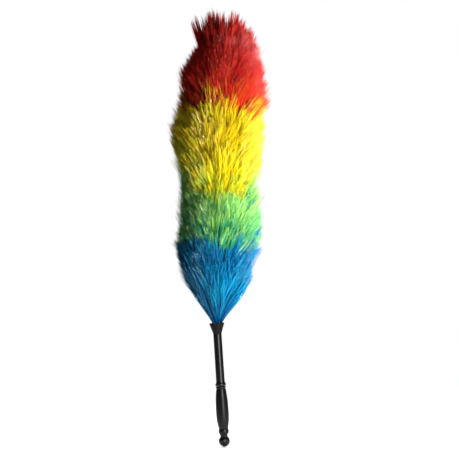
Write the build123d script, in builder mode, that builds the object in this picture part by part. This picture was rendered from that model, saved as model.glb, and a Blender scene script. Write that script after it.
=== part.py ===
from build123d import *
import math
import os

# Feather duster with a head of synthetic fibre, in millimetres.
#
# The handle stands along +Z with the origin at the centre of its ball end, which is also
# the centre of the hanging hole. The hole runs along Y. The head leans towards +X, because
# the springy core has a slight set just above the collar.

# ---------------------------------------------------------------- driving dimensions
# Handle, from the ball end upwards. Heights are above the centre of the ball.
ball_radius = 8.7
hang_hole_radius = 1.6
hang_hole_countersink = 0.7
knob_neck_radius = 5.9
knob_top = 9.6
knob_socket_radius = 4.0
knob_spigot_radius = 3.8
knob_spigot_length = 15.0
knob_rib_length = 1.6
knob_rib_pitch = 3.5
knob_rib_count = 3

bead_radius = 8.05
bead_height = 14.8
waist_radius = 7.1
waist_height = 19.1
swell_radius = 9.95
swell_height = 43.0
grip_shoulder_radius = 7.55
grip_shoulder_height = 81.2
grip_groove_radius = 6.95
grip_groove_height = 82.6
grip_lip_radius = 7.75
grip_top = 85.8
grip_bore_radius = 5.7
grip_bore_floor = 26.0

flange_radius = 8.4
flange_height = 88.7
neck_bottom_height = 93.6
neck_bottom_radius = 6.68
neck_top_radius = 6.48
neck_shoulder_height = 167.0
neck_tip_radius = 5.4
neck_top = 176.0
neck_spigot_bottom = 58.0
neck_relief_radius = 3.0
rod_seat_height = 104.0

collar_rim_radius = 11.35
collar_rim_height = 184.8
collar_lip = 2.2
collar_wall = 1.2

# Core of the head.
rod_radius = 4.0
rod_bore_radius = 1.55
wire_radius = 1.5
fit_gap = 0.05
pin_radius = 1.0
pin_height = 171.5
stop_ring_radius = 5.2
stop_ring_height = 1.8

# The head has its own axis, which leans from the handle's. Distances along it are
# measured from the point where the two axes cross.
lean = 5.0
lean_height = 180.0
rod_end = 378.0
cap_wall = 1.1
cap_depth = 9.0
cap_crown = 3.2
cap_clearance = 1.8

# Fringe strips, wound edge to edge round the core, one for each colour.
strip_thickness = 0.9
strip_width = 9.0
strip_pitch = 11.0
strip_gap = 3.0
strip_start = 3.0
strip_end = 366.0

# Where each colour meets the next one, at the core.
blue_to_green = 67.0
green_to_yellow = 146.0
yellow_to_red = 273.0

# Fibre pile: its outer shape as radius and distance along the head, the room it leaves
# round the core, and the angle at which its fibres rise from the axis.
pile_core_radius = 5.9
pile_root = 7.6
fibre_angle = 38.0
pile_gap = 0.6
pile_outline = [
    (8.6, 5.4),
    (29.0, 41.0),
    (52.0, 80.0),
    (65.0, 134.0),
    (62.5, 221.0),
    (67.0, 296.0),
    (68.0, 372.0),
    (50.0, 433.0),
    (35.0, 474.0),
]
pile_top = 492.0

# Cord that binds the foot of the lowest strip.
binding_cord = 0.6
binding_radius = 5.85
binding_pitch = 1.15
binding_start = 3.9
binding_turns = 3

# Staples that hold the two ends of each strip.
staple_wire = 0.7
staple_crown = 5.0
staple_depth = 2.6
staple_clearance = 0.05
staple_lift = 0.12
staple_turn = math.pi / 2

# ---------------------------------------------------------------- derived sizes
strip_radius = rod_radius + fit_gap + strip_thickness / 2
borders = {
    "blue": (strip_start, blue_to_green),
    "green": (blue_to_green, green_to_yellow),
    "yellow": (green_to_yellow, yellow_to_red),
    "red": (yellow_to_red, strip_end + strip_gap),
}
# Where the middle of each strip starts and ends along the head.
windings = {
    colour: (low + strip_width / 2, high - strip_gap - strip_width / 2)
    for colour, (low, high) in borders.items()
}

# ---------------------------------------------------------------- planes and axes
lean_rad = math.radians(lean)
head_direction = Vector(math.sin(lean_rad), 0, math.cos(lean_rad))
head_side = Vector(math.cos(lean_rad), 0, -math.sin(lean_rad))
head_origin = Vector(0, 0, lean_height)
head_axis = Axis(head_origin, head_direction)
# In this plane X is the distance from the head's axis and Y the distance along it.
head_section = Plane(origin=head_origin, x_dir=head_side, z_dir=(0, -1, 0))


def head_point(along):
    """The point of the head's axis at that distance."""
    return head_origin + head_direction * along


def keep(name, part):
    """Labels a finished piece and writes its STEP file."""
    part.label = name
    os.makedirs("parts", exist_ok=True)
    export_step(part, f"parts/{name}.step")


# ---------------------------------------------------------------- handle
def end_knob():
    """Ball with the hanging hole, and the ribbed spigot that plugs the grip."""
    spigot_top = knob_top + knob_spigot_length
    ball_cut = math.sqrt(ball_radius**2 - knob_neck_radius**2)
    with BuildPart() as knob:
        with BuildSketch(Plane.XZ):
            with BuildLine():
                Line((0, -ball_radius), (0, spigot_top))
                Polyline(
                    (0, spigot_top),
                    (knob_spigot_radius - 0.6, spigot_top),
                    (knob_spigot_radius, spigot_top - 1),
                    (knob_spigot_radius, knob_top),
                    (knob_neck_radius, knob_top),
                    (knob_neck_radius, ball_cut),
                )
                ThreePointArc((knob_neck_radius, ball_cut), (ball_radius, 0), (0, -ball_radius))
            make_face()
        revolve(axis=Axis.Z)
        for rib in range(1, knob_rib_count + 1):
            with Locations((0, 0, knob_top + knob_rib_pitch * rib)):
                Cone(
                    knob_socket_radius,
                    knob_spigot_radius,
                    knob_rib_length,
                    align=(Align.CENTER, Align.CENTER, Align.MIN),
                )
        with BuildSketch(Plane.XZ):
            Circle(hang_hole_radius)
        extrude(amount=ball_radius, both=True, mode=Mode.SUBTRACT)
        mouths = knob.edges().filter_by(GeomType.CIRCLE, reverse=True).sort_by(Axis.Y)
        chamfer([mouths[0], mouths[-1]], hang_hole_countersink)
    keep("end_knob", knob.part)


def grip():
    """Hollow swelling grip with a bead at its foot and a lip at its mouth."""
    with BuildPart() as body:
        with BuildSketch(Plane.XZ):
            with BuildLine():
                Line((knob_socket_radius, knob_top), (knob_neck_radius, knob_top))
                ThreePointArc(
                    (knob_neck_radius, knob_top),
                    (bead_radius, bead_height),
                    (waist_radius, waist_height),
                )
                Spline(
                    (waist_radius, waist_height),
                    (9.2, 29.5),
                    (swell_radius, swell_height),
                    (9.35, 64.0),
                    (grip_shoulder_radius, grip_shoulder_height),
                    tangents=[(0.25, 1), (-0.12, 1)],
                )
                ThreePointArc(
                    (grip_shoulder_radius, grip_shoulder_height),
                    (grip_groove_radius, (grip_shoulder_height + grip_groove_height) / 2),
                    (grip_shoulder_radius - 0.3, grip_groove_height),
                )
                ThreePointArc(
                    (grip_shoulder_radius - 0.3, grip_groove_height),
                    (grip_lip_radius, (grip_groove_height + grip_top) / 2),
                    (grip_shoulder_radius - 0.3, grip_top),
                )
                Polyline(
                    (grip_shoulder_radius - 0.3, grip_top),
                    (grip_bore_radius, grip_top),
                    (grip_bore_radius, grip_bore_floor),
                    (knob_socket_radius, grip_bore_floor),
                    (knob_socket_radius, knob_top),
                )
            make_face()
        revolve(axis=Axis.Z)
    keep("grip", body.part)


def neck_tube():
    """Tapered neck with its flange, a spigot for the grip and a seat for the core."""
    flange_foot = grip_top + 0.1
    spigot_radius = grip_bore_radius - fit_gap
    bore = rod_radius + fit_gap
    with BuildPart() as neck:
        with BuildSketch(Plane.XZ):
            with BuildLine():
                Polyline(
                    (neck_relief_radius, neck_spigot_bottom),
                    (spigot_radius - 0.8, neck_spigot_bottom),
                    (spigot_radius, neck_spigot_bottom + 1.5),
                    (spigot_radius, flange_foot),
                    (grip_shoulder_radius - 0.4, flange_foot),
                )
                ThreePointArc(
                    (grip_shoulder_radius - 0.4, flange_foot),
                    (flange_radius, flange_height),
                    (neck_bottom_radius + 0.5, flange_height + 2.6),
                )
                ThreePointArc(
                    (neck_bottom_radius + 0.5, flange_height + 2.6),
                    (neck_bottom_radius + 0.12, neck_bottom_height - 1.1),
                    (neck_bottom_radius, neck_bottom_height),
                )
                Polyline(
                    (neck_bottom_radius, neck_bottom_height),
                    (neck_top_radius, neck_shoulder_height),
                    (neck_tip_radius, neck_shoulder_height),
                    (neck_tip_radius, neck_top),
                    (bore, neck_top),
                    (bore, rod_seat_height),
                    (neck_relief_radius, rod_seat_height),
                    (neck_relief_radius, neck_spigot_bottom),
                )
            make_face()
        revolve(axis=Axis.Z)
        with BuildSketch(Plane.XZ):
            with Locations((0, pin_height)):
                Circle(pin_radius)
        extrude(amount=neck_tip_radius, both=True, mode=Mode.SUBTRACT)
    keep("neck_tube", neck.part)


def collar():
    """Flared ferrule that sits flush on the neck and hides the foot of the fibres."""
    socket = neck_tip_radius + fit_gap
    foot = neck_shoulder_height
    lip_foot = collar_rim_height - collar_lip
    with BuildPart() as ferrule:
        with BuildSketch(Plane.XZ):
            with BuildLine():
                Line((socket, foot), (neck_top_radius, foot))
                ThreePointArc(
                    (neck_top_radius, foot),
                    (neck_top_radius + 0.5, foot + 2.6),
                    (neck_top_radius + 1.4, foot + 5.2),
                )
                Line((neck_top_radius + 1.4, foot + 5.2), (collar_rim_radius, lip_foot))
                ThreePointArc(
                    (collar_rim_radius, lip_foot),
                    (collar_rim_radius + 0.25, lip_foot + collar_lip / 2),
                    (collar_rim_radius - 0.1, collar_rim_height),
                )
                Polyline(
                    (collar_rim_radius - 0.1, collar_rim_height),
                    (collar_rim_radius - collar_wall, collar_rim_height),
                    (socket + 1.6, neck_top + 1.0),
                    (socket, neck_top),
                    (socket, foot),
                )
            make_face()
        revolve(axis=Axis.Z)
    keep("collar", ferrule.part)


# ---------------------------------------------------------------- staples
def staple_planes():
    """Planes on the strips' outer face, Z outwards and X along the head, one for each staple."""
    across = head_direction.cross(head_side)
    rise = strip_pitch * staple_turn / (2 * math.pi)
    planes = []
    for start, end in windings.values():
        last_turn = 2 * math.pi * (end - start) / strip_pitch
        for along, turn in ((start + rise, staple_turn), (end - rise, last_turn - staple_turn)):
            outwards = head_side * math.cos(turn) + across * math.sin(turn)
            face = head_point(along) + outwards * (strip_radius + strip_thickness / 2 + staple_lift)
            planes.append(Plane(origin=face, x_dir=head_direction, z_dir=outwards))
    return planes


def staple_legs(planes, clearance=0.0, mode=Mode.ADD):
    """Both legs of the staple on each plane, or with a clearance the holes for them."""
    side = staple_wire + 2 * clearance
    spread = staple_crown - staple_wire
    with Locations(*planes):
        with GridLocations(spread, 1, 2, 1):
            Box(
                side,
                side,
                staple_depth + clearance,
                align=(Align.CENTER, Align.CENTER, Align.MAX),
                mode=mode,
            )


def strip_staples():
    """A wire staple across each end of each strip."""
    planes = staple_planes()
    with BuildPart() as staples:
        staple_legs(planes)
        with Locations(*planes):
            Box(
                staple_crown,
                staple_wire,
                staple_wire,
                align=(Align.CENTER, Align.CENTER, Align.MIN),
            )
    keep("strip_staples", staples.part)


# ---------------------------------------------------------------- core of the head
def core_sweep(start, end):
    """Sweeps the sketch in hand up the core: straight in the neck, bent, then straight."""
    bend = lean_height - neck_top
    with BuildLine() as path:
        seat = Line((0, 0, start), (0, 0, neck_top))
        turn = TangentArc(seat @ 1, head_point(bend), tangent=(0, 0, 1))
        Line(turn @ 1, head_point(end))
    sweep(path=path.line)


def core_rod():
    """Plastic sheath of the core, with holes for the pin and for the staples."""
    with BuildPart() as rod:
        with BuildSketch(Plane.XY.offset(rod_seat_height)):
            Circle(rod_radius)
            Circle(rod_bore_radius, mode=Mode.SUBTRACT)
        core_sweep(rod_seat_height, rod_end)
        with BuildSketch(Plane.XZ):
            with Locations((0, pin_height)):
                Circle(pin_radius)
        extrude(amount=neck_tip_radius, both=True, mode=Mode.SUBTRACT)
        staple_legs(staple_planes(), staple_clearance, Mode.SUBTRACT)
    keep("core_rod", rod.part)


def core_wire():
    """Spring wire inside the sheath. It starts above the pin."""
    foot = pin_height + pin_radius + 1.0
    with BuildPart() as wire:
        with BuildSketch(Plane.XY.offset(foot)):
            Circle(wire_radius)
        core_sweep(foot, rod_end - 1)
    keep("core_wire", wire.part)


def rod_pin():
    """Pin through the neck and the core, covered by the collar."""
    with BuildPart() as pin:
        with BuildSketch(Plane.XZ):
            with Locations((0, pin_height)):
                Circle(pin_radius - fit_gap / 2)
        extrude(amount=neck_tip_radius - 3 * fit_gap, both=True)
    keep("rod_pin", pin.part)


def stop_ring():
    """Ring on the core that keeps the windings out of the neck."""
    with BuildPart() as ring:
        with BuildSketch(Plane.XY.offset(neck_top + fit_gap)):
            Circle(stop_ring_radius)
            Circle(rod_radius + 2 * fit_gap, mode=Mode.SUBTRACT)
        extrude(amount=stop_ring_height)
        rims = ring.edges().filter_by(GeomType.CIRCLE).group_by(Axis.Z)[-1]
        chamfer(rims.sort_by(SortBy.RADIUS)[-1], 0.4)
    keep("stop_ring", ring.part)


def tip_cap():
    """Domed cap on the top end of the core."""
    inner = rod_radius + fit_gap
    outer = inner + cap_wall
    foot = rod_end - cap_depth
    floor = rod_end + fit_gap
    shoulder = rod_end - 1
    with BuildPart() as cap:
        with BuildSketch(head_section):
            with BuildLine():
                Polyline((0, floor), (inner, floor), (inner, foot), (outer, foot), (outer, shoulder))
                TangentArc((0, rod_end + cap_crown), (outer, shoulder), tangent=(1, 0))
                Line((0, rod_end + cap_crown), (0, floor))
            make_face()
        revolve(axis=head_axis)
    keep("tip_cap", cap.part)


# ---------------------------------------------------------------- fringe strips
def strip(name, start, end):
    """Fused edge of one fringe, wound up the core, with holes for its staples."""
    with BuildPart() as band:
        with BuildLine() as path:
            Helix(strip_pitch, end - start, strip_radius, head_point(start), head_direction)
        first = path.line @ 0
        outwards = (first - head_point(start)).normalized()
        with BuildSketch(Plane(origin=first, x_dir=outwards, z_dir=path.line % 0)):
            Rectangle(strip_thickness, strip_width)
        sweep(path=path.line, is_frenet=True)
        staple_legs(staple_planes(), staple_clearance, Mode.SUBTRACT)
    keep(name, band.part)


def foot_binding():
    """Turns of cord round the foot of the lowest strip, hidden in the collar's mouth."""
    with BuildPart() as binding:
        with BuildSketch(head_section):
            for turn in range(binding_turns):
                with Locations((binding_radius, binding_start + binding_pitch * turn)):
                    Circle(binding_cord)
        revolve(axis=head_axis)
    keep("foot_binding", binding.part)


# ---------------------------------------------------------------- fibre pile
def pile(name, low, high):
    """Room that one colour's fibres fill, between the cones that rise from low and high."""
    steepness = 1 / math.tan(math.radians(fibre_angle))
    reach = 2 * max(radius for radius, along in pile_outline)
    foot_of_cone = -pile_core_radius * steepness
    clear_of_cap = rod_end + cap_crown + cap_clearance
    with BuildPart() as fibres:
        with BuildSketch(head_section):
            with BuildLine():
                Polyline(
                    (0, pile_top),
                    (0, clear_of_cap),
                    (pile_core_radius, clear_of_cap),
                    (pile_core_radius, pile_root),
                    pile_outline[0],
                )
                Spline(*pile_outline, (0, pile_top), tangents=[(0.55, 1), (-1, 0)])
            make_face()
            with BuildLine():
                Polyline(
                    (0, low + foot_of_cone),
                    (reach, low + foot_of_cone + reach * steepness),
                    (reach, high + foot_of_cone + reach * steepness - pile_gap),
                    (0, high + foot_of_cone - pile_gap),
                    close=True,
                )
            make_face(mode=Mode.INTERSECT)
        revolve(axis=head_axis)
    keep(name, fibres.part)


# ---------------------------------------------------------------- the duster
end_knob()
grip()
neck_tube()
collar()
core_rod()
core_wire()
rod_pin()
stop_ring()
tip_cap()
foot_binding()
strip_staples()
for colour, (start, end) in windings.items():
    strip(f"{colour}_strip", start, end)
pile("blue_fibres", strip_start - pile_top, blue_to_green)
pile("green_fibres", blue_to_green, green_to_yellow)
pile("yellow_fibres", green_to_yellow, yellow_to_red)
pile("red_fibres", yellow_to_red, yellow_to_red + pile_top)
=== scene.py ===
"""Looks of a hand duster: a turned black handle and a head of silky split fibre in four bands.

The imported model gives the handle, the core and the windings. This script dresses them,
grows the fibre head strand by strand in the room that the packed fibre solids hold, and
sets up a plain studio round it. Everything is in metres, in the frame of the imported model.
"""

import logging
import math
from dataclasses import dataclass
from enum import Enum

import bpy
import numpy as np
from mathutils import Matrix, Vector


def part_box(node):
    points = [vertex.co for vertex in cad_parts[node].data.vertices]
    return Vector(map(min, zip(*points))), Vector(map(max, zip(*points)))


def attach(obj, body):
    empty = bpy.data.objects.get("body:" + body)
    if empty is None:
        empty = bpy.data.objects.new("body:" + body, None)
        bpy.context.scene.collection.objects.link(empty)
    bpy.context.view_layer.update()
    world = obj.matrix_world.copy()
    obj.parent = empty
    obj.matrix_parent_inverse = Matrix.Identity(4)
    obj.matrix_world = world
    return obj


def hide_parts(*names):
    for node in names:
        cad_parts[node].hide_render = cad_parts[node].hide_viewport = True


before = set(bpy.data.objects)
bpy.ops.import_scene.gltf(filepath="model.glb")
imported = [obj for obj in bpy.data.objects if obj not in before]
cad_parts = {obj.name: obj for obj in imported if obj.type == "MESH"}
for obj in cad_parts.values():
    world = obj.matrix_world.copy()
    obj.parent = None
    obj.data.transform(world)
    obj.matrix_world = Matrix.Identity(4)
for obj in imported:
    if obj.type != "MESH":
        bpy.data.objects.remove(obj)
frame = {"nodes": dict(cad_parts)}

LOG = logging.getLogger("duster")
BODY = "root"
# Name of the strands' own map, under which a bake can use it instead of unwrapping the strands
# anew.
STRAND_UV = "OFBake"
HANDLE = ("end_knob", "grip", "neck_tube", "collar")
# Tones from here up belong to strands that took some of the next dye, with a gap below.
BLED_FROM = 0.8
BLED_GAP = 0.01
# The turn round the head that faces the camera, in degrees.
FRONT = -82.0
# Each lock stands this much further round than the one before it, so none line up.
GOLDEN_TURN = math.pi * (3 - math.sqrt(5))
# Most triangles in one piece of fibre.
PIECE_TRIANGLES = 190_000
# A direction that no strand follows, from which the cross sections are squared up.
SKEW = np.array((0.13, 0.31, -0.94))
# Added to a length before it divides.
TINY = 1e-12
Colour = tuple[float, float, float]
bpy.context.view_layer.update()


# ------------------------------------------------------------------ shader building
class Sock:
    """One output socket, with Python operators that add Math nodes."""

    def __init__(self, graph: "Graph", socket: bpy.types.NodeSocket) -> None:
        """Wraps a socket of the given graph."""
        self.graph = graph
        self.socket = socket

    def _math(self, operation: str, *values: "Sock | float") -> "Sock":
        """Adds one Math node on sockets or numbers."""
        return self.graph.node("ShaderNodeMath", {"operation": operation}, dict(enumerate(values)))

    def __add__(self, other: "Sock | float") -> "Sock":
        """self + other."""
        return self._math("ADD", self, other)

    def __radd__(self, other: float) -> "Sock":
        """other + self."""
        return self._math("ADD", other, self)

    def __sub__(self, other: "Sock | float") -> "Sock":
        """self - other."""
        return self._math("SUBTRACT", self, other)

    def __rsub__(self, other: float) -> "Sock":
        """other - self."""
        return self._math("SUBTRACT", other, self)

    def __mul__(self, other: "Sock | float") -> "Sock":
        """self * other."""
        return self._math("MULTIPLY", self, other)

    def __rmul__(self, other: float) -> "Sock":
        """other * self."""
        return self._math("MULTIPLY", other, self)

    def __truediv__(self, other: "Sock | float") -> "Sock":
        """self / other."""
        return self._math("DIVIDE", self, other)

    def __rtruediv__(self, other: float) -> "Sock":
        """other / self."""
        return self._math("DIVIDE", other, self)

    def fit(self, low: float, high: float, to_low: float, to_high: float) -> "Sock":
        """Maps the range low to high onto to_low to to_high, clamped.

        Args:
            low: Input at the start of the range.
            high: Input at its end.
            to_low: Result at the start.
            to_high: Result at the end.

        Returns:
            The mapped value.
        """
        names = ("Value", "From Min", "From Max", "To Min", "To Max")
        inputs = dict(zip(names, (self, low, high, to_low, to_high)))
        return self.graph.node("ShaderNodeMapRange", {"clamp": True}, inputs)


class Graph:
    """The node tree of a material or a world, built through a single node method."""

    def __init__(self, owner: bpy.types.Material | bpy.types.World) -> None:
        """Empties the node tree of its owner.

        Args:
            owner: The material or world whose nodes are built.
        """
        self.owner = owner
        owner.use_nodes = True
        self.tree = owner.node_tree
        self.tree.nodes.clear()

    @classmethod
    def of_material(cls, name: str) -> "Graph":
        """The empty tree of a new material."""
        return cls(bpy.data.materials.new(name))

    def node(
        self,
        kind: str,
        settings: dict[str, object] | None = None,
        inputs: dict[str | int, object] | None = None,
        output: str | int = 0,
    ) -> Sock:
        """Adds a node, sets it up and links it.

        Args:
            kind: The node's type, such as ShaderNodeTexNoise.
            settings: Its properties, with a ramp's stops as "stops".
            inputs: Its sockets by name or index, as numbers, colours or Socks.
            output: The output to hand back.

        Returns:
            The chosen output.
        """
        return Sock(self, self._add(kind, settings or {}, inputs or {}).outputs[output])

    def _add(
        self, kind: str, settings: dict[str, object], inputs: dict[str | int, object]
    ) -> bpy.types.Node:
        """Makes one node: its properties first, then its sockets.

        Args:
            kind: The node's type.
            settings: Its properties, with a ramp's stops as "stops".
            inputs: Its sockets by name or index, as numbers, colours or Socks.

        Returns:
            The node.
        """
        node = self.tree.nodes.new(kind)
        for key, value in settings.items():
            if key == "stops":
                self._set_stops(node.color_ramp, value)
            else:
                setattr(node, key, value)
        for key, value in inputs.items():
            if isinstance(value, Sock):
                self.tree.links.new(value.socket, node.inputs[key])
            else:
                node.inputs[key].default_value = value
        return node

    @staticmethod
    def _set_stops(ramp: bpy.types.ColorRamp, stops: list[tuple[float, Colour]]) -> None:
        """Gives a colour ramp its stops.

        Args:
            ramp: The ramp of a new node.
            stops: Positions and colours, in order.
        """
        while len(ramp.elements) > 1:
            ramp.elements.remove(ramp.elements[-1])
        ramp.elements[0].position = stops[0][0]
        ramp.elements[0].color = (*stops[0][1], 1)
        for position, colour in stops[1:]:
            ramp.elements.new(position).color = (*colour, 1)

    def mix(self, factor: Sock | float, first: Sock | Colour, second: Sock | Colour) -> Sock:
        """Mixes two colours.

        Args:
            factor: Share of the second colour.
            first: Colour at 0.
            second: Colour at 1.

        Returns:
            The mixed colour.
        """
        ends = {6: first, 7: second}
        inputs = {key: end if isinstance(end, Sock) else (*end, 1) for key, end in ends.items()}
        return self.node("ShaderNodeMix", {"data_type": "RGBA"}, {0: factor, **inputs}, output=2)

    def noise(self, scale: float, detail: float = 3, vector: Sock | None = None) -> Sock:
        """Noise from 0 to 1 over the given vector, or over the object's own space.

        Args:
            scale: Cycles per metre, or per unit of the vector.
            detail: Octaves.
            vector: Where it is read.

        Returns:
            The noise value.
        """
        where = vector or self.node("ShaderNodeTexCoord", output="Object")
        inputs = {"Vector": where, "Scale": scale, "Detail": detail}
        return self.node("ShaderNodeTexNoise", {}, inputs)

    def bump(self, height: Sock, distance: float, strength: float = 1.0) -> Sock:
        """A normal bent by a height that is worth the given distance in metres."""
        inputs = {"Height": height, "Distance": distance, "Strength": strength}
        return self.node("ShaderNodeBump", {}, inputs)

    def finish(self, shader: Sock) -> bpy.types.Material | bpy.types.World:
        """Links the shader to the output.

        Args:
            shader: The finished shader.

        Returns:
            The material or the world that owns the nodes.
        """
        kind = "World" if isinstance(self.owner, bpy.types.World) else "Material"
        self._add(f"ShaderNodeOutput{kind}", {}, {"Surface": shader})
        return self.owner

    def surface(self, inputs: dict[str | int, object]) -> bpy.types.Material:
        """Finishes a material that is one Principled shader."""
        return self.finish(self.node("ShaderNodeBsdfPrincipled", {}, inputs))


# ------------------------------------------------------------------ finishes
@dataclass(frozen=True)
class Moulding:
    """Black injection-moulded plastic: a fine grain, faint flow marks and handling scuffs.

    Grain is the depth of the surface's grain in metres, and the scales are cycles per metre.
    """

    name: str
    colour: Colour
    roughness: float
    coat: float
    grain: float
    flow_scale: float = 55
    grain_scale: float = 2600
    scuff_scale: float = 420

    def material(self) -> bpy.types.Material:
        """The finish as a node material.

        Returns:
            The material.
        """
        graph = Graph.of_material(self.name)
        flow = graph.noise(self.flow_scale, 4)
        grain = graph.noise(self.grain_scale, 2)
        scuffs = graph.noise(self.scuff_scale, 6).fit(0.56, 0.72, 0, 1)
        worn = tuple(channel * 2 + 0.002 for channel in self.colour)
        colour = graph.mix(scuffs * 0.35 + flow.fit(0.35, 0.75, 0, 0.3), self.colour, worn)
        rough = self.roughness + flow.fit(0.3, 0.7, -0.05, 0.08) + scuffs * 0.12
        normal = graph.bump(grain + scuffs * 0.4, self.grain)
        inputs = {
            "Base Color": colour,
            "Roughness": rough,
            "Coat Weight": self.coat,
            "Coat Roughness": 0.26,
            "Specular IOR Level": 0.22,
            "Normal": normal,
        }
        return graph.surface(inputs)


@dataclass(frozen=True)
class DrawnSteel:
    """Bright drawn wire with fine scratches and a few duller stains."""

    name: str = "drawn_steel"
    dull: Colour = (0.42, 0.42, 0.43)
    bright: Colour = (0.66, 0.66, 0.67)
    scratch_scale: float = 1800
    stain_scale: float = 160
    scratch_depth: float = 0.00002

    def material(self) -> bpy.types.Material:
        """The finish as a node material.

        Returns:
            The material.
        """
        graph = Graph.of_material(self.name)
        scratches = graph.noise(self.scratch_scale, 5)
        stain = graph.noise(self.stain_scale, 3)
        inputs = {
            "Base Color": graph.mix(stain, self.dull, self.bright),
            "Metallic": 1.0,
            "Roughness": scratches.fit(0.3, 0.7, 0.22, 0.42),
            "Normal": graph.bump(scratches, self.scratch_depth),
        }
        return graph.surface(inputs)


@dataclass(frozen=True)
class Extrusion:
    """Plain or dyed plastic of the core and of the fused strip edges, with melt marks."""

    name: str
    colour: Colour
    mark_scale: float = 900
    cloud_scale: float = 90
    mark_depth: float = 0.00008

    def material(self) -> bpy.types.Material:
        """The finish as a node material.

        Returns:
            The material.
        """
        graph = Graph.of_material(self.name)
        melt = graph.noise(self.mark_scale, 5)
        cloud = graph.noise(self.cloud_scale, 3)
        deep = tuple(channel * 0.6 for channel in self.colour)
        inputs = {
            "Base Color": graph.mix(cloud * 0.6 + melt * 0.4, deep, self.colour),
            "Roughness": melt.fit(0.3, 0.7, 0.34, 0.55),
            "Normal": graph.bump(melt, self.mark_depth),
        }
        return graph.surface(inputs)


@dataclass(frozen=True)
class TwistedCord:
    """Undyed cord: slanted plies with a fuzzy surface, and painted shade in the grooves between
    them.
    """

    name: str = "twisted_cord"
    shaded_groove: Colour = (0.42, 0.38, 0.31)
    crest: Colour = (0.8, 0.77, 0.7)
    ply_scale: float = 420
    fuzz_scale: float = 2400
    ply_depth: float = 0.00012

    def material(self) -> bpy.types.Material:
        """The finish as a node material.

        Returns:
            The material.
        """
        graph = Graph.of_material(self.name)
        where = graph.node("ShaderNodeTexCoord", output="Object")
        settings = {"wave_type": "BANDS", "bands_direction": "DIAGONAL"}
        inputs = {"Vector": where, "Scale": self.ply_scale, "Distortion": 1.5}
        plies = graph.node("ShaderNodeTexWave", settings, inputs)
        plies = graph.node("ShaderNodeRGBToBW", {}, {0: plies})
        fuzz = graph.noise(self.fuzz_scale, 4)
        inputs = {
            # Painted shade: the grooves between the plies take the darker colour.
            "Base Color": graph.mix(plies, self.shaded_groove, self.crest),
            "Roughness": fuzz.fit(0, 1, 0.75, 0.95),
            "Normal": graph.bump(plies + fuzz * 0.3, self.ply_depth),
        }
        return graph.surface(inputs)


@dataclass(frozen=True)
class PaleFloor:
    """Pale dusty floor that fades out with the distance from the middle, in metres."""

    name: str = "pale_floor"
    low: Colour = (0.9, 0.9, 0.9)
    high: Colour = (0.93, 0.93, 0.93)
    dust_scale: float = 40
    fade_from: float = 0.05
    fade_to: float = 0.9

    def material(self) -> bpy.types.Material:
        """The finish as a node material.

        Returns:
            The material.
        """
        graph = Graph.of_material(self.name)
        place = graph.node("ShaderNodeTexCoord", output="Object")
        settings = {"operation": "LENGTH"}
        reach = graph.node("ShaderNodeVectorMath", settings, {0: place}, output="Value")
        dust = graph.noise(self.dust_scale, 3)
        paint = {"Base Color": graph.mix(dust, self.low, self.high), "Roughness": 0.8}
        pale = graph.node("ShaderNodeBsdfPrincipled", {}, paint)
        clear = graph.node("ShaderNodeBsdfTransparent")
        fade = reach.fit(self.fade_from, self.fade_to, 0, 1)
        return graph.finish(graph.node("ShaderNodeMixShader", {}, {0: fade, 1: pale, 2: clear}))


@dataclass(frozen=True)
class SilkyFibre:
    """Split plastic fibre: glossy, lets light through, with painted shade at the root and a paler
    tip.

    Across the strand map runs the tone of the strand, from deep to bright and then to the
    strands that took some of the next dye, and up it the way from root to tip. Glow is the
    colour of the light let through. Shine is the strength of both reflecting layers.
    """

    name: str
    tones: tuple[Colour, Colour, Colour, Colour]
    bled: tuple[Colour, Colour]
    tip: Colour
    glow: Colour
    glow_share: float = 0.45
    shine: float = 0.7
    tip_share: float = 0.45
    root_shade: float = 0.45
    tone_stops: tuple[float, float, float, float] = (0.0, 0.34, 0.68, 1.0)
    streaks_across: float = 90
    streaks_along: float = 5
    streak_depth: float = 0.00002

    def material(self) -> bpy.types.Material:
        """The finish as a node material.

        Returns:
            The material.
        """
        graph = Graph.of_material(self.name)
        place = graph.node("ShaderNodeUVMap", {"uv_map": STRAND_UV})
        tone = graph.node("ShaderNodeSeparateXYZ", {}, {0: place}, output="X")
        along = graph.node("ShaderNodeSeparateXYZ", {}, {0: place}, output="Y")
        spread = {"X": tone * self.streaks_across, "Y": along * self.streaks_along}
        streak = graph.noise(1.0, 3, graph.node("ShaderNodeCombineXYZ", {}, spread))
        stops = list(zip(self.tone_stops, self.tones))
        own = tone / BLED_FROM + (streak - 0.5) * 0.35
        body = graph.node("ShaderNodeValToRGB", {"stops": stops}, {"Fac": own})
        edge = (BLED_FROM, BLED_FROM + BLED_GAP)
        other = graph.mix(tone.fit(BLED_FROM, 1, 0, 1), *self.bled)
        body = graph.mix(tone.fit(*edge, 0, 1), body, other)
        # Painted shade: each strand darkens towards its root, where it lies deep inside the pile.
        deep = tuple(channel * self.root_shade for channel in self.tones[1])
        body = graph.mix(along.fit(0.05, 0.6, 1, 0), body, deep)
        # Each band's tip colour is mixed in towards the tip. The green's paler tip, with its large
        # share, is a painted highlight on the tips.
        paler = along.fit(0.55, 1.0, 0, self.tip_share) * tone.fit(*edge, 1, 0)
        body = graph.mix(paler, body, self.tip)
        inputs = {
            "Base Color": body,
            "Roughness": streak.fit(0.3, 0.7, 0.15, 0.3),
            "Specular IOR Level": self.shine,
            "Coat Weight": self.shine,
            "Coat Roughness": 0.12,
            "Normal": graph.bump(streak, self.streak_depth),
        }
        gloss = graph.node("ShaderNodeBsdfPrincipled", {}, inputs)
        glow = graph.node("ShaderNodeBsdfTranslucent", {}, {"Color": (*self.glow, 1)})
        ends = {0: self.glow_share, 1: gloss, 2: glow}
        return graph.finish(graph.node("ShaderNodeMixShader", {}, ends))


# ------------------------------------------------------------------ the head's frame
class Band(Enum):
    """The four dyed bands, from the collar up."""

    BLUE = "blue"
    GREEN = "green"
    YELLOW = "yellow"
    RED = "red"


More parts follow.
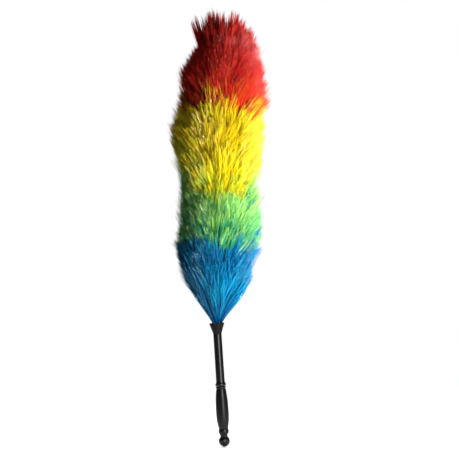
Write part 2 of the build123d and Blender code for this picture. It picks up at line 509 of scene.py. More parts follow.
@dataclass(frozen=True)
class HeadFrame:
    """Axis of the head and the outer shape of its pile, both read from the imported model.

    The outline is rows of distance along the head and radius.
    """

    origin: np.ndarray
    along: np.ndarray
    side: np.ndarray
    across: np.ndarray
    outline: np.ndarray

    @classmethod
    def from_model(cls) -> "HeadFrame":
        """Finds the axis through the middles of the foot binding and the tip cap.

        Returns:
            The head's frame.
        """
        nodes = ("foot_binding", "tip_cap")
        foot, tip = (np.array(sum(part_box(node), Vector())) / 2 for node in nodes)
        along = tip - foot
        along[1] = 0
        along /= np.linalg.norm(along)
        origin = foot - along * (foot[0] / along[0])
        origin[1] = 0
        across = np.array((0.0, 1.0, 0.0))
        side = np.cross(across, along)
        offset = np.concatenate([cls._points(band) for band in Band]) - origin
        distance = offset @ along
        radius = np.linalg.norm(offset - distance[:, None] * along, axis=1)
        return cls(origin, along, side, across, cls._outline(distance, radius))

    @staticmethod
    def _points(band: Band) -> np.ndarray:
        """The points of a band's packed fibre solid.

        Args:
            band: The band.

        Returns:
            The points, one row each.
        """
        data = frame["nodes"][f"{band.value}_fibres"].data
        raw = np.zeros(len(data.vertices) * 3, np.float32)
        data.vertices.foreach_get("co", raw)
        return raw.reshape(-1, 3)

    @staticmethod
    def _outline(
        distance: np.ndarray,
        radius: np.ndarray,
        ring_height: float = 0.004,
        least: float = 0.008,
        hollow_share: float = 0.95,
    ) -> np.ndarray:
        """Widest ring at each height, without the hollows between two wider ones.

        Args:
            distance: Distance of each point along the head.
            radius: Its distance from the axis.
            ring_height: Points closer together along the head than this share a ring.
            least: Rings narrower than this are the core's.
            hollow_share: A ring narrower than this share of both neighbours is left out.

        Returns:
            Rows of distance and radius, in order along the head.
        """
        bins = np.round(distance / ring_height).astype(int)
        rings = []
        for index in np.unique(bins):
            ring = bins == index
            if radius[ring].max() > least:
                rings.append((distance[ring].mean(), radius[ring].max()))
        rings.append((distance.max(), 0.0))
        outline = np.array(rings)
        hollow = True
        while np.any(hollow):
            level = np.minimum(outline[:-2, 1], outline[2:, 1])
            inner = outline[1:-1, 1] < hollow_share * level
            hollow = np.concatenate(([False], inner, [False]))
            outline = outline[~hollow]
        return outline

    def radius(self, distance: np.ndarray) -> np.ndarray:
        """Outer radius of the pile at distances along the head."""
        return np.interp(distance, self.outline[:, 0], self.outline[:, 1])

    def place(self, distance: np.ndarray, radius: np.ndarray, turn: np.ndarray) -> np.ndarray:
        """Points from their distance along the head, radius and turn round it."""
        outwards = np.cos(turn)[..., None] * self.side + np.sin(turn)[..., None] * self.across
        return self.origin + distance[..., None] * self.along + radius[..., None] * outwards

    def distance(self, point: Vector) -> float:
        """Distance of a point along the head."""
        return float((np.array(point) - self.origin) @ self.along)


# ------------------------------------------------------------------ strands
@dataclass(frozen=True)
class Strands:
    """Strands as arrays, with one row for each strand.

    Lines are centre lines, strands by stations by 3. Tones run from 0 to 1, widths are
    shares of the usual one, and twists turn the flat side, in radians.
    """

    lines: np.ndarray
    tones: np.ndarray
    widths: np.ndarray
    twists: np.ndarray

    def take(self, chosen: np.ndarray) -> "Strands":
        """The chosen strands."""
        rows = (self.lines, self.tones, self.widths, self.twists)
        return Strands(*(row[chosen] for row in rows))


@dataclass(frozen=True)
class StrandMesh:
    """Turns strand centre lines into closed, tapered three-sided strands.

    Width is in metres and thickness a share of it. The root's width and the pointed tip's
    length are shares too, and the turn is in radians from root to tip. In the strand map,
    a strand takes up one column, a share of the width, and the foot row is the step between
    the corners of its closed foot.
    """

    width: float = 0.00088
    thickness: float = 0.4
    sides: int = 3
    root_width: float = 0.6
    tip: float = 0.12
    tip_power: float = 0.8
    turn: float = 1.2
    column: float = 0.004
    foot_row: float = 0.002

    def build(self, name: str, strands: Strands) -> bpy.types.Object:
        """Makes one object of many strands.

        Args:
            name: The object's name.
            strands: The strands.

        Returns:
            The new object.
        """
        count, stations, _ = strands.lines.shape
        body = np.stack(self._edges(strands), axis=2)[:, :-1]
        points = np.empty((count, (stations - 1) * self.sides + 1, 3), np.float32)
        points[:, :-1] = body.reshape(count, -1, 3)
        points[:, -1] = strands.lines[:, -1]
        return self._object(name, points, strands.tones, *self._pattern(stations))

    @staticmethod
    def shares(stations: int, crowding: float = 1.5) -> np.ndarray:
        """Where the stations lie along a strand, closer together towards the tip."""
        return 1 - (1 - np.linspace(0, 1, stations)) ** crowding

    def triangles(self, stations: int) -> int:
        """How many triangles one closed strand has."""
        return 2 * self.sides * (stations - 1) - 2

    def _edges(self, strands: Strands) -> list[np.ndarray]:
        """Runs the long edges of every strand.

        Args:
            strands: The strands.

        Returns:
            One array for each edge, strands by stations by 3.
        """
        share = self.shares(strands.lines.shape[1])
        pointed = np.clip((1 - share) / self.tip, 0, 1) ** self.tip_power
        taper = pointed * (self.root_width + (1 - self.root_width) * share)
        tangent = np.gradient(strands.lines, axis=1)
        tangent /= np.linalg.norm(tangent, axis=2, keepdims=True) + TINY
        first = np.cross(tangent, SKEW)
        first /= np.linalg.norm(first, axis=2, keepdims=True) + TINY
        second = np.cross(tangent, first)
        angles = strands.twists[:, None] + share[None, :] * self.turn
        flat = first * np.cos(angles)[..., None] + second * np.sin(angles)[..., None]
        thin = second * np.cos(angles)[..., None] - first * np.sin(angles)[..., None]
        half = (strands.widths[:, None] * taper[None, :] * self.width / 2)[..., None]
        edges = []
        for side in range(self.sides):
            turn = 2 * math.pi * side / self.sides
            away = math.cos(turn) * flat + self.thickness * math.sin(turn) * thin
            edges.append(strands.lines + half * away)
        return edges

    def _pattern(self, stations: int) -> tuple[np.ndarray, np.ndarray, np.ndarray]:
        """Lays out the faces of one strand.

        Args:
            stations: Points along the centre line.

        Returns:
            The faces' corners, the corners per face and each corner's place in the map.
        """
        corners, sizes, places = [], [], []
        share = self.shares(stations)
        edges = np.arange(self.sides + 1) / self.sides
        middles = (np.arange(self.sides) + 0.5) / self.sides
        for ring in range(stations - 1):
            low, high = ring * self.sides, (ring + 1) * self.sides
            for side in range(self.sides):
                after = (side + 1) % self.sides
                left, right = edges[side], edges[side + 1]
                corners += [low + side, low + after]
                places += [(left, share[ring]), (right, share[ring])]
                if ring < stations - 2:
                    corners += [high + after, high + side]
                    places += [(right, share[ring + 1]), (left, share[ring + 1])]
                    sizes.append(4)
                else:
                    corners.append(high)
                    places.append((middles[side], 1))
                    sizes.append(3)
        corners += list(reversed(range(self.sides)))
        places += [(middle, self.foot_row * side) for side, middle in enumerate(middles)]
        sizes.append(self.sides)
        return np.array(corners), np.array(sizes), np.array(places)

    def _object(self, name: str, points: np.ndarray, tones: np.ndarray, faces: np.ndarray,
                sizes: np.ndarray, places: np.ndarray) -> bpy.types.Object:
        """Writes the strands into a mesh with its own map and smooth shading.

        Args:
            name: The object's name.
            points: Corners, strands by corners by 3.
            tones: Tone of each strand.
            faces: Corners of one strand's faces.
            sizes: Corners per face.
            places: Place in the map of each of those corners.

        Returns:
            The new object.
        """
        count, per_strand, _ = points.shape
        corners = (faces[None, :] + np.arange(count)[:, None] * per_strand).ravel()
        all_sizes = np.tile(sizes, count)
        starts = np.concatenate(([0], np.cumsum(all_sizes)[:-1]))
        mesh = bpy.data.meshes.new(name)
        mesh.vertices.add(count * per_strand)
        mesh.vertices.foreach_set("co", points.ravel())
        mesh.loops.add(len(corners))
        mesh.loops.foreach_set("vertex_index", corners.astype(np.int32))
        mesh.polygons.add(len(all_sizes))
        mesh.polygons.foreach_set("loop_start", starts.astype(np.int32))
        mesh.update(calc_edges=True)
        mesh.polygons.foreach_set("use_smooth", np.ones(len(all_sizes), bool))
        uv = np.empty((count, len(places), 2), np.float32)
        uv[:, :, 0] = tones[:, None] * (1 - self.column) + places[None, :, 0] * self.column
        uv[:, :, 1] = places[None, :, 1]
        mesh.uv_layers.new(name=STRAND_UV).data.foreach_set("uv", uv.ravel())
        piece = bpy.data.objects.new(name, mesh)
        bpy.context.scene.collection.objects.link(piece)
        return piece


# ------------------------------------------------------------------ fibre bands
@dataclass(frozen=True)
class Sway:
    """A place where the pile leans to one side, and may stand out or be pressed in all round.

    Middle and extent are in metres along the head, lean and swell shares of the radius.
    """

    middle: float
    extent: float
    lean: float
    swell: float = 0.0

    def factor(self, distance: np.ndarray, turn: np.ndarray) -> np.ndarray:
        """How much further the fibres reach at a distance along the head and turn round it."""
        near = np.exp(-(((distance - self.middle) / self.extent) ** 2))
        return near * (self.lean * np.cos(turn) + self.swell)


@dataclass(frozen=True)
class Comb:
    """A patch of a band whose locks stand steeper or flatter than the rest.

    Turn and extent are in degrees round the head, and the roots in metres along it. A lift is
    the share of its angle that a lock loses, at the lower and at the upper of these roots.
    """

    turn: float
    extent: float
    roots: tuple[float, float]
    lifts: tuple[float, float]

    def share(self, roots: np.ndarray, turns: np.ndarray) -> np.ndarray:
        """How much of its rise each lock loses.

        Args:
            roots: Distance along the head where each lock starts.
            turns: Its turn round the head, in radians.

        Returns:
            The share that each lock loses.
        """
        away = np.abs((turns - math.radians(self.turn) + math.pi) % (2 * math.pi) - math.pi)
        lift = np.interp(roots, self.roots, self.lifts, left=0, right=0)
        return lift * np.exp(-((away / math.radians(self.extent)) ** 2))


@dataclass(frozen=True)
class Stray:
    """A lock given one by one: its root and length in metres, its turn and rise in degrees."""

    root: float
    turn: float
    rise: float
    length: float


@dataclass(frozen=True)
class Bell:
    """Bell-shaped random numbers, held between two ends."""

    middle: float
    spread: float
    low: float = -math.inf
    high: float = math.inf

    def draw(self, rng: np.random.Generator, size: int | tuple[int, ...]) -> np.ndarray:
        """Draws numbers in an array of the given size."""
        return rng.normal(self.middle, self.spread, size).clip(self.low, self.high)


@dataclass(frozen=True)
class Habit:
    """How the locks, the wisps and the strands of a band differ from one another.

    Spreads and frizz are in metres, but the tip's spread is drawn as its logarithm. Rise and
    bend are in degrees, turns and drift in radians, and tones from 0 to 1. Length, reach and
    width are factors, and cuts are the shares of the length that are left. Two numbers are
    the least and the greatest, three the least, the usual and the greatest.
    """

    lock_turn: Bell = Bell(0, 0.12)
    lock_rise: Bell = Bell(0, 3.0, -9, 9)
    lock_length: Bell = Bell(1, 0.05)
    lock_bend: Bell = Bell(1.0, 5.0, -9, 11)
    lock_reach: Bell = Bell(1.01, 0.045, 0.91, 1.1)
    lock_drift: Bell = Bell(0, 0.045)
    lock_tone: Bell = Bell(0.5, 0.14)
    crown_lift: tuple[float, float] = (0.1, 1.0)
    crown_length: float = 0.1
    stray_reach: float = 1.6
    root_spread: float = 0.0012
    belly_spread: float = 0.014
    tip_spread: Bell = Bell(math.log(0.0068), 0.35, -6.1, -4.6)
    full_radius: float = 0.06
    least_spread: float = 0.3
    wisp_tone: Bell = Bell(0, 0.16)
    wisp_cut: tuple[float, float, float] = (0.86, 1.01, 1.06)
    wisp_place: Bell = Bell(0, 1, -1.7, 1.7)
    wisp_root: float = 0.0006
    wisp_tip: float = 0.0003
    wisp_belly: float = 0.0005
    frizz: tuple[float, float] = (0.0001, 0.0008)
    frizz_turns: float = 5.5
    strand_cut: tuple[float, float] = (0.96, 1.0)
    strand_place: Bell = Bell(0, 1, -2, 2)
    strand_tone: Bell = Bell(0, 0.05)
    strand_width: tuple[float, float] = (0.65, 1.3)
    bled_share: float = 0.85
    bled_tones: float = 0.2
    flatness: float = 0.5


@dataclass(frozen=True)
class Locks:
    """The locks of a band, one number for each.

    Roots are distances along the head and turns are round it, in radians. Rise and bend are
    angles from its axis. Reach is how far a lock stands past the outline, as a factor.
    """

    roots: np.ndarray
    turns: np.ndarray
    rise: np.ndarray
    bend: np.ndarray
    length: np.ndarray
    reach: np.ndarray

    def with_strays(self, strays: tuple[Stray, ...], reach: float) -> "Locks":
        """Adds the locks that stand clear of the rest.

        Args:
            strays: The locks to add.
            reach: How far they may stand past the outline.

        Returns:
            All the locks.
        """
        roots = [stray.root for stray in strays]
        turns = [math.radians(stray.turn) for stray in strays]
        rise = [math.radians(stray.rise) for stray in strays]
        length = [stray.length for stray in strays]
        bend, reaches = np.zeros(len(strays)), np.full(len(strays), reach)
        rows = (self.roots, self.turns, self.rise, self.bend, self.length, self.reach)
        added = (roots, turns, rise, bend, length, reaches)
        return Locks(*(np.append(row, extra) for row, extra in zip(rows, added)))


@dataclass(frozen=True)
class Paths:
    """The way that each lock runs, at even steps from its root.

    Inside is the share of the way that lies within the pile's outline. A strand that is
    longer than its lock runs on past the end by the overrun, a share of the way.
    """

    distance: np.ndarray
    radius: np.ndarray
    inside: np.ndarray
    overrun: float = 0.08

    def tip_radius(self) -> np.ndarray:
        """Radius at which each lock meets the outline."""
        tips = np.round(self.inside * (self.radius.shape[1] - 1)).astype(int)
        return self.radius[np.arange(len(tips)), tips]

    def read(self, lock: np.ndarray, along: np.ndarray) -> tuple[np.ndarray, np.ndarray]:
        """Finds where strands run that follow these ways.

        Args:
            lock: The lock of each strand.
            along: Shares of the way within the outline, strands by stations.

        Returns:
            Distances along the head and radii, strands by stations.
        """
        last = self.distance.shape[1] - 1
        place = np.clip(along * self.inside[lock][:, None] * last, 0, last * (1 + self.overrun))
        low = np.minimum(np.floor(place).astype(int), last - 1)
        part = place - low
        index = lock[:, None]
        return tuple(
            rows[index, low] * (1 - part) + rows[index, low + 1] * part
            for rows in (self.distance, self.radius)
        )


@dataclass
class FibreBand:
    """The fibres of one dye, in locks that leave their winding and run up to the pile's outline.

    A lock is a sheaf of wisps, and a wisp is a few strands that cling together. The rise is
    in degrees at the lower and the upper edge of the winding. Over the bleed, in metres, a
    band takes the next dye, and the side bleed lengthens it at the sides. Over the crown,
    in metres below its upper edge, a band closes over the tip.
    """

    band: Band
    head: HeadFrame
    finish: SilkyFibre
    seed: int
    locks: int
    wisps: int = 19
    strands: int = 2
    rise: tuple[float, float] = (42.5, 42.5)
    length: float = 0.118
    stations: int = 7
    steps: int = 32
    root_radius: float = 0.005
    hug: float = 0.65
    hug_length: float = 0.09
    bleed: float = 0.014
    side_bleed: float = 0.0
    parting: float = 0.18
    crown: float = 0.0
    habit: Habit = Habit()
    combs: tuple[Comb, ...] = ()
    strays: tuple[Stray, ...] = ()
    sways: tuple[Sway, ...] = (
        Sway(0.05, 0.04, 0.0), Sway(0.105, 0.03, -0.08, -0.13), Sway(0.165, 0.04, 0.04, -0.03),
        Sway(0.21, 0.04, -0.02, -0.08), Sway(0.3, 0.05, -0.1), Sway(0.352, 0.025, 0.08, -0.06),
        Sway(0.4, 0.03, 0.02), Sway(0.452, 0.026, 0.22, -0.16), Sway(0.478, 0.02, -0.12),
    )

    def build(self) -> None:
        """Grows the band and rides its pieces on the body."""
        rng = np.random.default_rng(self.seed)
        mesh = StrandMesh()
        strands = self._grow(rng)
        count = len(strands.lines)
        parts = math.ceil(count * mesh.triangles(self.stations) / PIECE_TRIANGLES)
        order = rng.permutation(count)
        material = self.finish.material()
        for part in range(parts):
            chosen = order[part::parts]
            name = f"{self.band.value}_locks_{part + 1}"
            piece = mesh.build(name, strands.take(chosen))
            piece.data.materials.append(material)
            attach(piece, BODY)
            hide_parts(f"{self.band.value}_fibres")
            LOG.info("%s: %d strands", name, len(chosen))

    def _winding(self) -> tuple[float, float]:
        """Finds this band's winding.

        Returns:
            Distances along the head of its lower and its upper edge.
        """
        lowest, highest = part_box(f"{self.band.value}_strip")
        middle = (lowest + highest) / 2
        ends = (Vector((middle.x, 0, lowest.z)), Vector((middle.x, 0, highest.z)))
        return self.head.distance(ends[0]), self.head.distance(ends[1])

    def _locks(self, rng: np.random.Generator) -> Locks:
        """Draws the locks of the band.

        Args:
            rng: Seeded random numbers.

        Returns:
            The locks, the stray ones last.
        """
        habit, count = self.habit, self.locks
        low, high = self._winding()
        roots = low + (high - low) * (np.arange(count) + rng.uniform(0, 1, count)) / count
        turns = np.arange(count) * GOLDEN_TURN + habit.lock_turn.draw(rng, count)
        usual = np.interp(roots, (low, high), self.rise)
        rise = np.radians(usual + habit.lock_rise.draw(rng, count))
        length = self.length * habit.lock_length.draw(rng, count)
        if self.crown:
            near_tip = np.clip((roots - (high - self.crown)) / self.crown, 0, 1)
            rise *= 1 - near_tip * rng.uniform(*habit.crown_lift, count)
            length *= 1 + habit.crown_length * near_tip
        for comb in self.combs:
            lift = comb.share(roots, turns)
            rise *= 1 - lift
            length *= 1 + lift
        bend = np.radians(habit.lock_bend.draw(rng, count))
        reach = habit.lock_reach.draw(rng, count)
        locks = Locks(roots, turns, rise, bend, length, reach)
        return locks.with_strays(self.strays, habit.stray_reach)

    def _paths(self, locks: Locks) -> Paths:
        """Runs each lock from its root to the outline.

        Args:
            locks: The locks.

        Returns:
            The way of each lock.
        """
        share = np.linspace(0, 1, self.steps)[None, :]
        lying = self.hug * np.exp(-share / self.hug_length)
        angle = locks.rise[:, None] * (1 - lying) - locks.bend[:, None] * share
        step = locks.length[:, None] / (self.steps - 1)
        ahead, away = np.cos(angle) * step, np.sin(angle) * step
        distance = locks.roots[:, None] + np.cumsum(ahead, axis=1) - ahead[:, :1]
        radius = self.root_radius + np.cumsum(away, axis=1) - away[:, :1]
        turns = locks.turns[:, None]
        limit = locks.reach[:, None] + sum(sway.factor(distance, turns) for sway in self.sways)
        outside = radius > self.head.radius(distance) * limit
        outside[:, 0] = False
        first = np.where(outside.any(axis=1), outside.argmax(axis=1), self.steps - 1)
        return Paths(distance, radius, first / (self.steps - 1))

    def _grow(self, rng: np.random.Generator) -> Strands:
        """Draws every strand of the band.

        Args:
            rng: Seeded random numbers.

        Returns:
            The strands.
        """
        habit, locks = self.habit, self._locks(rng)
        paths = self._paths(locks)
        count = len(locks.roots)
        lock_tone = habit.lock_tone.draw(rng, count)
        tip_spread = np.exp(habit.tip_spread.draw(rng, count))

        wisp = np.repeat(np.arange(count), self.wisps)
        wisp_tone = lock_tone[wisp] + habit.wisp_tone.draw(rng, len(wisp))
        wisp_cut = rng.triangular(*habit.wisp_cut, len(wisp))
        wisp_place = habit.wisp_place.draw(rng, (2, len(wisp)))

        strand = np.repeat(np.arange(len(wisp)), self.strands)
        lock = wisp[strand]
        total = len(strand)
        cut = wisp_cut[strand] * rng.uniform(*habit.strand_cut, total)
        along = StrandMesh.shares(self.stations)[None, :] * cut[:, None]
        drift = habit.lock_drift.draw(rng, count)
        parted = self.parting * np.sin(2 * (locks.turns - math.radians(FRONT)))
        turn = locks.turns[lock][:, None] + parted[lock][:, None] * along
        turn = turn + drift[lock][:, None] * along**2
        centre = self.head.place(*paths.read(lock, along), turn)

        lock_spread = self._lock_spread(along, tip_spread[lock], paths.tip_radius()[lock])
        wisp_spread = habit.wisp_root * (1 - along) + habit.wisp_tip
        wisp_spread = wisp_spread + habit.wisp_belly * along * (1 - along)
        in_wisp = habit.strand_place.draw(rng, (2, total, 1))
        wave = rng.uniform(0, 2 * math.pi, (2, len(wisp)))[:, strand, None]
        frizz = rng.uniform(*habit.frizz, (2, len(wisp)))[:, strand, None] * along
        shifts = wisp_place[:, strand, None] * lock_spread + in_wisp * wisp_spread
        shifts = shifts + frizz * np.sin(wave + habit.frizz_turns * along)
        lines = self._shift(centre, turn, shifts)

        tones = (wisp_tone[strand] + habit.strand_tone.draw(rng, total)).clip(0, 1)
        tones = tones * (BLED_FROM - BLED_GAP)
        bled = rng.uniform(0, 1, len(wisp)) < habit.bled_share * self._bleeding(locks)[wisp]
        bled_tones = BLED_FROM + 2 * BLED_GAP + tones * habit.bled_tones
        tones = np.where(bled[strand], bled_tones, tones)
        widths = rng.uniform(*habit.strand_width, total)
        return Strands(lines, tones, widths, rng.uniform(0, math.pi, total))

    def _lock_spread(
        self, along: np.ndarray, tip_spread: np.ndarray, tip_radius: np.ndarray
    ) -> np.ndarray:
        """How far the wisps of a lock stand apart.

        Args:
            along: Shares of the way, strands by stations.
            tip_spread: Spread at the tip of each strand's lock.
            tip_radius: Radius at the tip of each strand's lock.

        Returns:
            Metres, strands by stations.
        """
        habit = self.habit
        belly = habit.belly_spread * along * (1 - along)
        spread = habit.root_spread * (1 - along) + belly + tip_spread[:, None] * along
        return spread * np.clip(tip_radius / habit.full_radius, habit.least_spread, 1)[:, None]

    def _shift(self, centre: np.ndarray, turn: np.ndarray, shifts: np.ndarray) -> np.ndarray:
        """Moves the strands off the middle of their locks.

        Args:
            centre: The locks' middles, strands by stations by 3.
            turn: Turn round the head, strands by stations.
            shifts: Metres round the head and away from it, two by strands by stations.

        Returns:
            The strands' centre lines.
        """
        tangent = np.gradient(centre, axis=1)
        tangent /= np.linalg.norm(tangent, axis=2, keepdims=True)
        across, side = self.head.across, self.head.side
        sideways = np.cos(turn)[..., None] * across - np.sin(turn)[..., None] * side
        outwards = np.cross(sideways, tangent)
        level = centre + shifts[0][..., None] * sideways
        return level + self.habit.flatness * shifts[1][..., None] * outwards

    def _bleeding(self, locks: Locks) -> np.ndarray:
        """How far each lock takes the next dye, falling off from the band's lower edge.

        Args:
            locks: The locks.

        Returns:
            Shares, one for each lock.
        """
        low, _ = self._winding()
        at_side = np.abs(np.sin(locks.turns - math.radians(FRONT)))
        return np.exp(-(locks.roots - low) / (self.bleed * (1 + self.side_bleed * at_side)))


@dataclass
class FibreHead:
    """All four bands."""

    head: HeadFrame

    def build(self) -> None:
        """Grows the bands from the collar up."""
        for band in self.bands():
            band.build()

    def bands(self) -> list[FibreBand]:
        """Sets out the bands.

        Returns:
            The bands, with their dyes and numbers of locks.
        """
        blue = SilkyFibre(
            "blue_fibre",
            ((0.0, 0.04, 0.12), (0.0, 0.09, 0.26), (0.0, 0.14, 0.35), (0.0, 0.27, 0.5)),
            bled=((0.0, 0.14, 0.3), (0.0, 0.32, 0.5)),
            tip=(0.0, 0.2, 0.36), glow=(0.0, 0.24, 0.44), shine=0.35, root_shade=0.8,
        )
        green = SilkyFibre(
            "green_fibre",
            ((0.01, 0.12, 0.02), (0.04, 0.3, 0.02), (0.17, 0.54, 0.03), (0.44, 0.86, 0.13)),
            bled=((0.0, 0.13, 0.1), (0.0, 0.32, 0.2)),
            # The pale tip colour and its large share paint highlight streaks on the green tips.
            tip=(0.56, 0.86, 0.26), glow=(0.26, 0.7, 0.07), shine=0.6, tip_share=0.65,
        )
        yellow = SilkyFibre(
            "yellow_fibre",
            ((0.34, 0.19, 0.0), (0.62, 0.42, 0.0), (0.82, 0.62, 0.0), (0.95, 0.82, 0.01)),
            bled=((0.3, 0.42, 0.0), (0.52, 0.78, 0.04)),
            tip=(0.9, 0.74, 0.0), glow=(0.8, 0.58, 0.0), glow_share=0.36, shine=0.5,
        )
        red = SilkyFibre(
            "red_fibre",
            ((0.24, 0.006, 0.002), (0.38, 0.01, 0.004), (0.5, 0.018, 0.009), (0.66, 0.05, 0.032)),
            bled=((0.3, 0.04, 0.0), (0.72, 0.2, 0.01)),
            tip=(0.5, 0.024, 0.014), glow=(0.95, 0.02, 0.01), glow_share=0.52,
            shine=0.35, root_shade=0.8,
        )
        right, left, front = FRONT + 90, FRONT - 90, FRONT
        return [
            FibreBand(
                Band.BLUE, self.head, blue, seed=11, locks=480, rise=(34, 43), length=0.12,
                combs=(
                    Comb(front, 30, (0.02, 0.068), (0, -0.12)),
                    Comb(front - 20, 11, (0.02, 0.068), (0, 0.22)),
                ),
            ),
            FibreBand(
                Band.GREEN, self.head, green, seed=12, locks=480, bleed=0.042,
                combs=(
                    Comb(right, 44, (0.08, 0.15), (0.04, 0.46)),
                    Comb(left, 44, (0.08, 0.15), (0.04, 0.48)),
                ),
            ),
            FibreBand(
                Band.YELLOW, self.head, yellow, seed=13, locks=760, bleed=0.024, side_bleed=1.3,
                combs=(
                    Comb(right, 44, (0.14, 0.22), (0.44, 0)),
                    Comb(left, 44, (0.14, 0.22), (0.46, 0)),
                    Comb(front, 26, (0.14, 0.2), (-0.12, 0)),
                    Comb(right, 44, (0.22, 0.271), (0, -0.24)),
                    Comb(front + 24, 16, (0.22, 0.271), (0, -0.12)),
                    Comb(front - 12, 10, (0.2, 0.271), (0, 0.28)),
                ),
            ),
            FibreBand(
                Band.RED, self.head, red, seed=14, locks=760, crown=0.11,
                strays=(
                    Stray(0.352, left - 6, 19, 0.137), Stray(0.355, left + 4, 21, 0.129),
                    Stray(0.349, left + 10, 17.5, 0.139), Stray(0.346, left - 14, 20, 0.132),
                    Stray(0.361, front, 4, 0.128), Stray(0.362, front + 40, 6, 0.122),
                    Stray(0.363, front + 180, 3, 0.124),
                ),
                combs=(
                    Comb(front - 30, 8, (0.27, 0.305), (-0.28, 0)),
                    Comb(right, 50, (0.27, 0.31), (-0.12, 0)),
                ),
            ),
        ]


# ------------------------------------------------------------------ handle and core
@dataclass
class Dressing:
    """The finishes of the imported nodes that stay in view."""

    satin: Moulding = Moulding("satin_black", (0.0016, 0.0016, 0.0018), 0.36, 0.15, 0.000025)
    gloss: Moulding = Moulding("gloss_black", (0.001, 0.001, 0.0012), 0.32, 0.5, 0.000008)
    matte: Moulding = Moulding("matte_black", (0.002, 0.002, 0.0022), 0.5, 0.0, 0.00004)
    core: Extrusion = Extrusion("natural_plastic", (0.72, 0.69, 0.62), 500)
    steel: DrawnSteel = DrawnSteel()
    cord: TwistedCord = TwistedCord()
    strips: tuple[tuple[Band, Colour], ...] = (
        (Band.BLUE, (0.0, 0.12, 0.42)),
        (Band.GREEN, (0.04, 0.4, 0.06)),
        (Band.YELLOW, (0.75, 0.52, 0.0)),
        (Band.RED, (0.5, 0.015, 0.01)),
    )

    def build(self) -> None:
        """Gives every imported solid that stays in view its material."""
        wear = {
            ("end_knob", "grip"): self.satin,
            ("neck_tube",): self.gloss,
            ("collar",): self.matte,
            ("core_rod", "stop_ring", "tip_cap"): self.core,
            ("core_wire", "rod_pin", "strip_staples"): self.steel,
            ("foot_binding",): self.cord,
        }
        for band, colour in self.strips:
            wear[(f"{band.value}_strip",)] = Extrusion(f"{band.value}_fused_edge", colour)
        for nodes, finish in wear.items():
            material = finish.material()
            for node in nodes:
                piece = frame["nodes"][node]
                piece.data.materials.clear()
                piece.data.materials.append(material)
                LOG.info("%s wears %s", node, material.name)


# ------------------------------------------------------------------ studio
class Flag(Enum):
    """What a lamp does with the pieces it is flagged for."""

    LEAVES_OUT = "EXCLUDE"
    LIGHTS_ALONE = "INCLUDE"


@dataclass(frozen=True)
class Lamp:
    """A soft rectangular lamp that faces the middle of the object.

    Its place and size are in metres and its power in watts.
    """

    name: str
    place: tuple[float, float, float]
    size: tuple[float, float]
    power: float
    flag: Flag = Flag.LEAVES_OUT
    flagged: tuple[str, ...] = ()

    def build(self, aim: tuple[float, float, float], pieces: dict[str, bpy.types.Object]) -> None:
        """Makes the lamp.

        Args:
            aim: The point it faces.
            pieces: Objects by name, from which the flagged ones are taken.
        """
        data = bpy.data.lights.new(self.name, "AREA")
        data.shape = "RECTANGLE"
        data.size, data.size_y = self.size
        data.energy = self.power
        light = bpy.data.objects.new(self.name, data)
        light.visible_camera = False
        bpy.context.scene.collection.objects.link(light)
        turn = (Vector(aim) - Vector(self.place)).to_track_quat("-Z", "Y").to_matrix().to_4x4()
        light.matrix_world = Matrix.Translation(self.place) @ turn
        if self.flagged:
            group = bpy.data.collections.new(f"{self.name}_flag")
            for name in self.flagged:
                group.objects.link(pieces[name])
            light.light_linking.receiver_collection = group
            for entry in group.collection_objects:
                entry.light_linking.link_state = self.flag.value
        LOG.info("lamp %s: %g W", self.name, self.power)


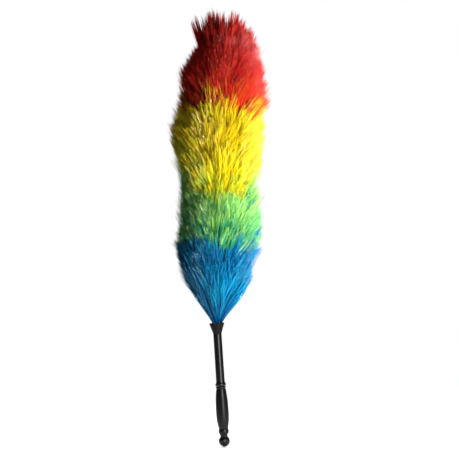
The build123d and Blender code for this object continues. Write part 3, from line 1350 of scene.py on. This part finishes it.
@dataclass
class Studio:
    """Pale floor, soft lights and the camera.

    Tilt and azimuth are the camera's, in degrees. The span is the height in metres that the
    picture takes in at the centre. The floor is a disc of rings, each of so many steps.
    """

    tilt: float = 3.68
    azimuth: float = 8.0
    distance: float = 3.0
    span: float = 0.716
    centre: tuple[float, float, float] = (0.0296, 0.0, 0.3291)
    floor_drop: float = 0.0003
    floor_radius: float = 1.6
    floor_rings: int = 24
    floor_steps: int = 96
    ambient: float = 0.1
    lamps: tuple[Lamp, ...] = (
        Lamp("key", (0.97, -0.43, 0.11), (0.5, 0.2), 74, flagged=(*HANDLE, "floor")),
        Lamp("glint", (0.2, -0.28, 0.12), (0.08, 0.05), 2.4, flagged=(*HANDLE, "floor")),
        Lamp("front", (1.3, -1.6, 0.8), (0.5, 0.5), 17, flagged=("collar",)),
        Lamp("back", (0.6, 1.6, 0.6), (1.0, 1.0), 40, flagged=HANDLE),
        Lamp("rear", (-0.6, 1.6, 0.7), (0.8, 0.8), 20),
        Lamp("strip", (0.5, -0.75, 0.1), (0.26, 0.6), 6, Flag.LIGHTS_ALONE, HANDLE),
        Lamp("above", (0.0, 0.0, 2.4), (2.0, 2.0), 60, Flag.LIGHTS_ALONE, ("floor",)),
    )

    def build(self) -> None:
        """Makes the floor, the world, the lamps and the camera."""
        self._camera()
        pieces = {**frame["nodes"], "floor": self._floor()}
        self._world()
        for lamp in self.lamps:
            lamp.build(self.centre, pieces)
        bpy.context.scene.view_settings.view_transform = "Standard"

    def _basis(self) -> tuple[Vector, Vector, Vector]:
        """Turns the camera's angles into directions.

        Returns:
            The picture's right, its up, and the way back to the camera.
        """
        turn, tilt = math.radians(self.azimuth), math.radians(self.tilt)
        back = Vector((math.sin(turn), -math.cos(turn), 0))
        level = Vector((math.cos(turn), math.sin(turn), 0))
        upright = Vector((0, 0, 1))
        right = level * math.cos(tilt) - upright * math.sin(tilt)
        up = level * math.sin(tilt) + upright * math.cos(tilt)
        return right, up, back

    def _camera(self) -> None:
        """A long lens at the object's middle height."""
        data = bpy.data.cameras.new("camera")
        data.lens = data.sensor_width * self.distance / self.span
        data.clip_end = 50
        camera = bpy.data.objects.new("camera", data)
        bpy.context.scene.collection.objects.link(camera)
        right, up, back = self._basis()
        turn = Matrix((right, up, back)).transposed().to_4x4()
        camera.matrix_world = Matrix.Translation(Vector(self.centre) + back * self.distance) @ turn
        bpy.context.scene.camera = camera

    def _floor(self) -> bpy.types.Object:
        """A round pale floor under the ball that fades out into the background.

        Returns:
            The floor.
        """
        rings, steps = self.floor_rings, self.floor_steps
        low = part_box("end_knob")[0].z - self.floor_drop
        points = [(0.0, 0.0, low)]
        for ring in range(1, rings + 1):
            radius = self.floor_radius * ring / rings
            for step in range(steps):
                turn = 2 * math.pi * step / steps
                points.append((radius * math.cos(turn), radius * math.sin(turn), low))
        faces = [(0, 1 + step, 1 + (step + 1) % steps) for step in range(steps)]
        for ring in range(1, rings):
            inner, outer = 1 + (ring - 1) * steps, 1 + ring * steps
            for step in range(steps):
                after = (step + 1) % steps
                faces.append((inner + step, outer + step, outer + after, inner + after))
        mesh = bpy.data.meshes.new("floor")
        mesh.from_pydata(points, [], faces)
        mesh.materials.append(PaleFloor().material())
        floor = bpy.data.objects.new("floor", mesh)
        bpy.context.scene.collection.objects.link(floor)
        return floor

    def _world(self) -> None:
        """White where the camera sees it, and a dimmer soft light everywhere else."""
        graph = Graph(bpy.data.worlds.new("studio"))
        seen = graph.node("ShaderNodeBackground", {}, {"Color": (1, 1, 1, 1), "Strength": 1.0})
        dim = {"Color": (0.96, 0.98, 1, 1), "Strength": self.ambient}
        soft = graph.node("ShaderNodeBackground", {}, dim)
        in_view = graph.node("ShaderNodeLightPath", output="Is Camera Ray")
        mixed = graph.node("ShaderNodeMixShader", {}, {0: in_view, 1: soft, 2: seen})
        bpy.context.scene.world = graph.finish(mixed)


def main() -> None:
    """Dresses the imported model, grows the head and lights the scene."""
    logging.basicConfig(level=logging.INFO, format="%(name)s: %(message)s")
    Studio().build()
    Dressing().build()
    FibreHead(HeadFrame.from_model()).build()


if __name__ == "__main__":
    main()
